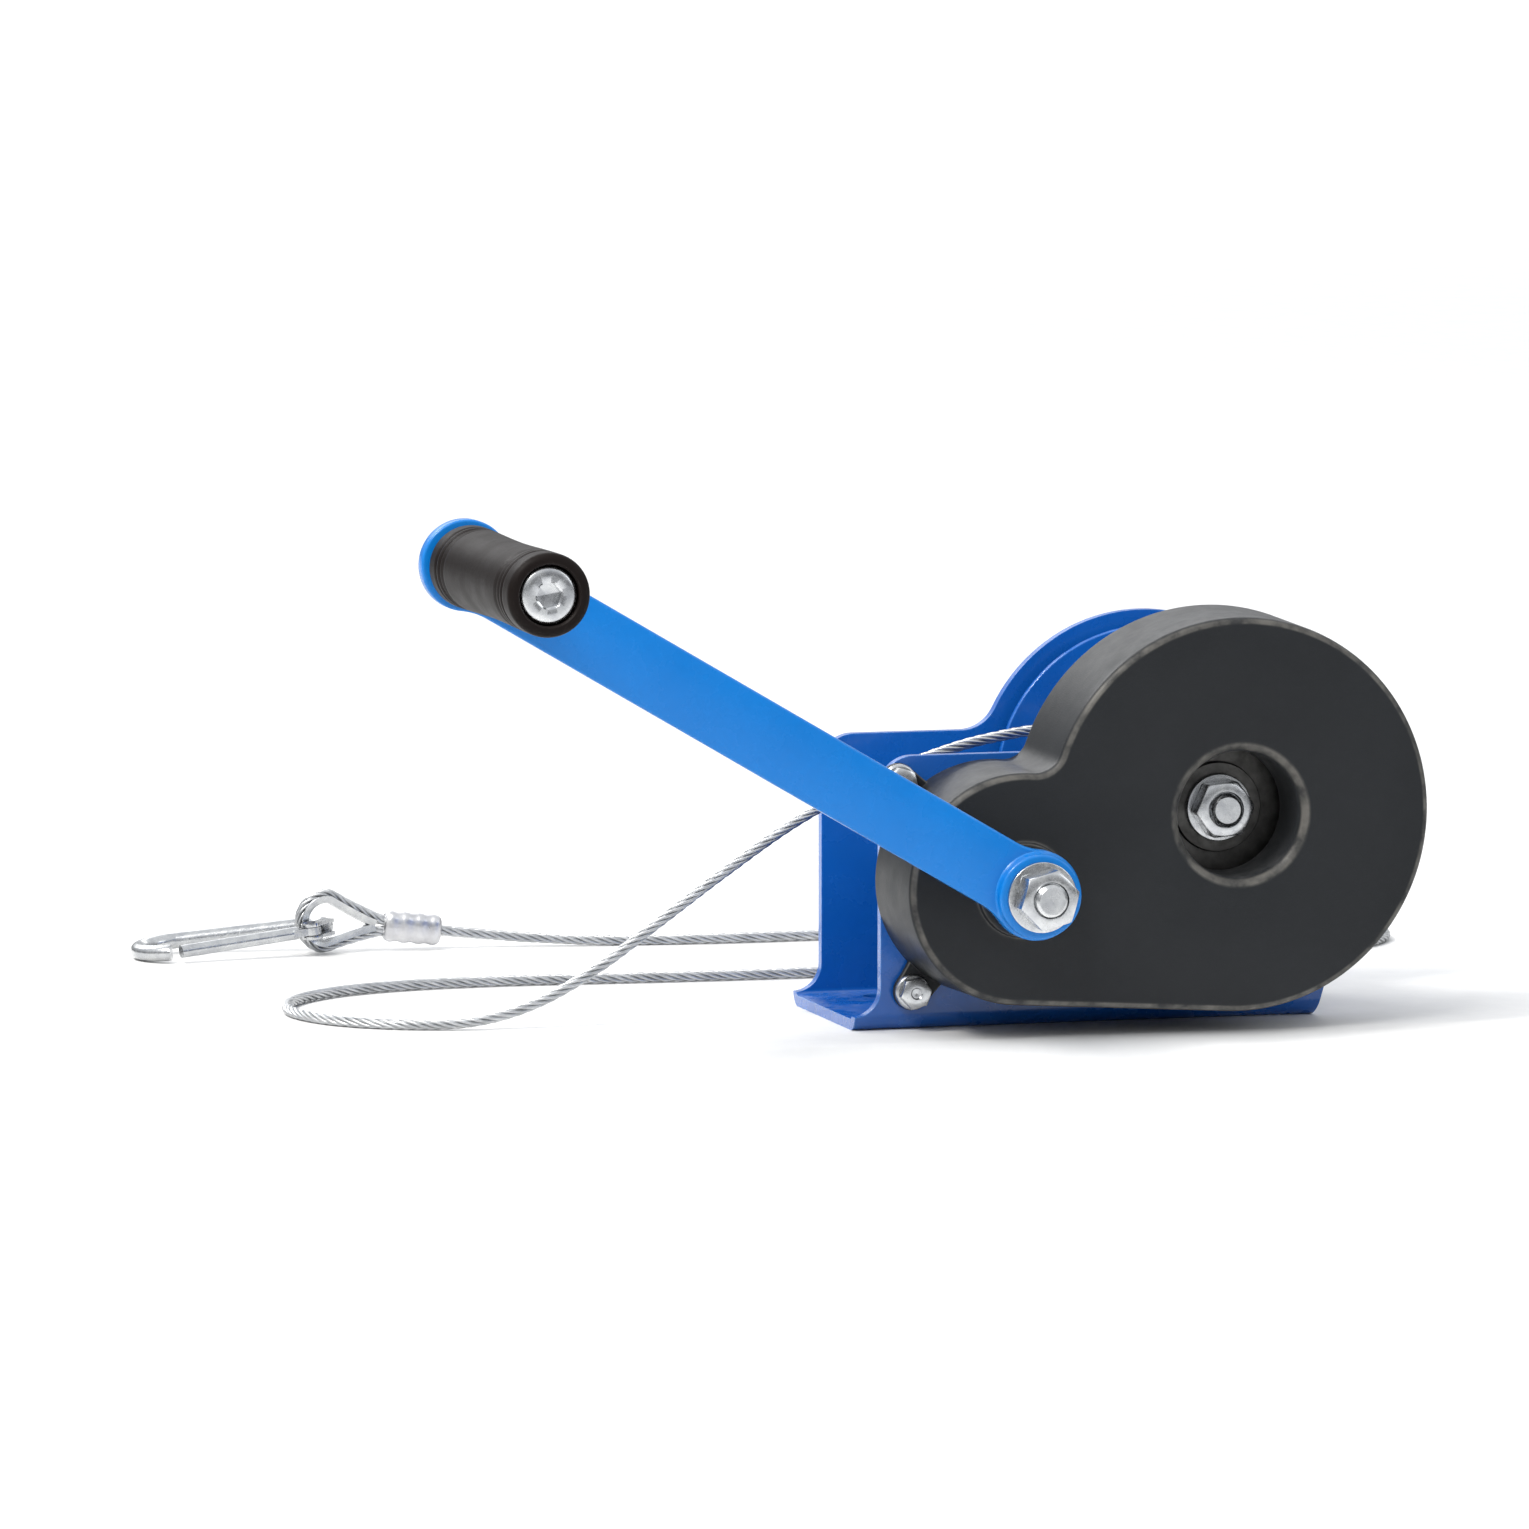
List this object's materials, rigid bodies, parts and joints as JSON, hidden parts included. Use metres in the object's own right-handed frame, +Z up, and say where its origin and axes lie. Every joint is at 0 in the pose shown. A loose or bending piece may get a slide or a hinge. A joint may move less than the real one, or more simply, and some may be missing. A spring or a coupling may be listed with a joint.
{
  "type": "boat trailer winch",
  "caption": "Hand winch with a geared drum of wire rope in a blue pressed steel frame, black gear cover, long crank arm with a turning grip, and a snap hook.",
  "frame": {"origin": "centre of the base hole pattern on the underside of the base", "axes": "+Z up, +X away from the cable's way out, -Y towards the gear cover and the crank"},
  "size_m": [0.4695, 0.4603, 0.1918],
  "materials": {
    "blue_paint": "gloss powder coat",
    "azure_paint": "gloss powder coat",
    "cover_plastic": "moulded, fine grain",
    "grip_plastic": "moulded, satin",
    "bush_plastic": "moulded",
    "zinc_plate": "zinc plated",
    "gear_steel": "oiled cut steel",
    "spring_steel": "oiled",
    "wire_rope": "galvanised strand",
    "ferrule_metal": "pressed"
  },
  "bodies": {
    "frame_body": {"frame": "blue_paint", "drum_bush_near": "bush_plastic", "drum_bush_far": "bush_plastic", "crank_bush_near": "bush_plastic", "crank_bush_far": "bush_plastic", "gear_cover": "cover_plastic", "cover_screws": "zinc_plate", "pawl_post": "zinc_plate", "pawl_spring": "spring_steel", "cable_free": "wire_rope", "cable_eye": "wire_rope", "ferrule": "ferrule_metal", "thimble": "zinc_plate", "hook_body": "zinc_plate", "gate_pin": "spring_steel"},
    "drum_body": {"drum_shaft": "zinc_plate", "drum": "blue_paint", "drive_gear": "gear_steel", "axle_washers": "zinc_plate", "axle_nuts": "zinc_plate", "cable_clamp": "zinc_plate", "clamp_screws": "zinc_plate", "cable_winding": "wire_rope"},
    "crank_body": {"crank_shaft": "zinc_plate", "pinion_gear": "gear_steel", "ratchet_wheel": "gear_steel", "spacer_sleeve": "zinc_plate", "shaft_clip": "spring_steel", "crank_arm": "azure_paint", "crank_washer": "zinc_plate", "crank_nut": "zinc_plate", "grip_bolt": "zinc_plate", "grip_nut": "zinc_plate"},
    "grip_body": {"grip": "grip_plastic"},
    "pawl_body": {"pawl": "gear_steel"},
    "gate_body": {"hook_gate": "zinc_plate"}
  },
  "joints": [
    {"name": "crank_turn", "type": "hinge", "parent": "frame_body", "child": "crank_body", "pos_m": [-0.028, 0, 0.054], "axis": [0, 1, 0], "continuous": true},
    {"name": "drum_turn", "type": "hinge", "parent": "frame_body", "child": "drum_body", "pos_m": [0.0525, 0, 0.078], "axis": [0, 1, 0], "continuous": true},
    {"name": "grip_spin", "type": "hinge", "parent": "crank_body", "child": "grip_body", "pos_m": [-0.23479, -0.157, 0.17581], "axis": [0, 1, 0], "continuous": true},
    {"name": "pawl_drop", "type": "hinge", "parent": "frame_body", "child": "pawl_body", "pos_m": [-0.052, -0.0585, 0.074], "axis": [0, -1, 0], "range_deg": [0, 11]},
    {"name": "gate_open", "type": "hinge", "parent": "frame_body", "child": "gate_body", "pos_m": [-0.211, 0.22209, 0.0097], "axis": [0.1028, 0, -0.9947], "range_deg": [0, 22], "stiffness_Nm_per_rad": 0.02, "springref_deg": -17.19}
  ],
  "couplings": [
    {"joint": "drum_turn", "follows": "crank_turn", "ratio": -0.33333}
  ]
}
